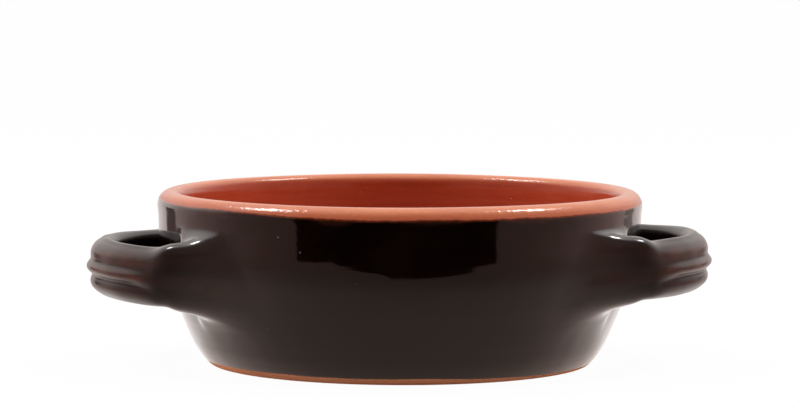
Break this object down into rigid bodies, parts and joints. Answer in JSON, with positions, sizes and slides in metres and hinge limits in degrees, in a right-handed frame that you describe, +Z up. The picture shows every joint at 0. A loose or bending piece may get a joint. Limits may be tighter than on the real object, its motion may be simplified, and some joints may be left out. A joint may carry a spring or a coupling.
{
  "type": "casserole dish",
  "caption": "Low round earthenware casserole with a pulled strap handle on each side, dark glazed outside and terracotta inside.",
  "frame": {"origin": "middle of the flat underside", "axes": "+X through one handle, +Z up through the bowl's mouth"},
  "size_m": [0.232, 0.18, 0.0642],
  "materials": {
    "glazed_clay": "glossy dark brown glaze"
  },
  "bodies": {
    "root": {"casserole": "glazed_clay"}
  },
  "joints": []
}
